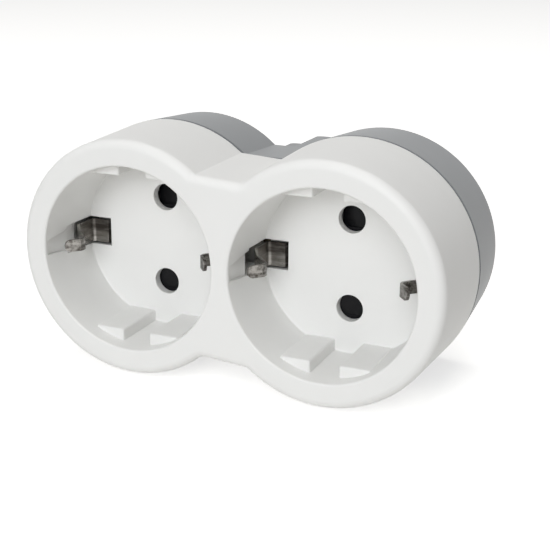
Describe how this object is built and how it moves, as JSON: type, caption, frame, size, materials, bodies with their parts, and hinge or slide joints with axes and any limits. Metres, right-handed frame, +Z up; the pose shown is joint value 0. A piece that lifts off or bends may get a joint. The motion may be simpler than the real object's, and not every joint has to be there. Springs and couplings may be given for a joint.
{
  "type": "two way earthed socket adapter",
  "caption": "Twin lobed plug-in adapter with round recessed earthed sockets, turning shutters, and a round two pin plug body with side earth contacts behind.",
  "frame": {"origin": "centre of the plug's seating face, which meets the floor of the wall socket", "axes": "+X along the row of sockets, +Y the way the plug pins point, away from the sockets, +Z up, square to both, with one pin above the other"},
  "size_m": [0.0946, 0.0765, 0.0516],
  "materials": {
    "white_plastic": "satin moulded",
    "grey_plastic": "satin moulded",
    "black_plastic": "glossy moulded",
    "natural_plastic": "matt moulded",
    "spring_steel": "rolled",
    "brass": "rolled",
    "plated_brass": "nickel plated",
    "zinc_steel": "zinc plated"
  },
  "bodies": {
    "casing": {"front_cover": "white_plastic", "rear_cover": "grey_plastic", "shutter_retainer_left": "natural_plastic", "shutter_retainer_right": "natural_plastic", "earth_clip_left": "spring_steel", "earth_clip_right": "spring_steel", "earth_bar": "brass", "plug_earth_contact_left": "plated_brass", "plug_earth_contact_right": "plated_brass", "earth_rivet_left": "brass", "earth_rivet_right": "brass", "live_clip_left": "brass", "live_clip_right": "brass", "neutral_clip_left": "brass", "neutral_clip_right": "brass", "live_bus": "brass", "neutral_bus": "brass", "plug_pin_live": "plated_brass", "plug_pin_neutral": "plated_brass", "case_screw_left_top": "zinc_steel", "case_screw_left_bottom": "zinc_steel", "case_screw_right_top": "zinc_steel", "case_screw_right_bottom": "zinc_steel"},
    "shutter_left": {"shutter_left": "black_plastic", "shutter_spring_left": "spring_steel"},
    "shutter_right": {"shutter_right": "black_plastic", "shutter_spring_right": "spring_steel"}
  },
  "joints": [
    {"name": "shutter_left_turn", "type": "hinge", "parent": "casing", "child": "shutter_left", "pos_m": [-0.0215, -0.0371, 0], "axis": [0, 1, 0], "range_deg": [0, 40], "stiffness_Nm_per_rad": 0.0005, "springref_deg": -20.05, "deforming": ["shutter_spring_left"]},
    {"name": "shutter_right_turn", "type": "hinge", "parent": "casing", "child": "shutter_right", "pos_m": [0.0215, -0.0371, 0], "axis": [0, 1, 0], "range_deg": [0, 40], "stiffness_Nm_per_rad": 0.0005, "springref_deg": -20.05, "deforming": ["shutter_spring_right"]}
  ]
}
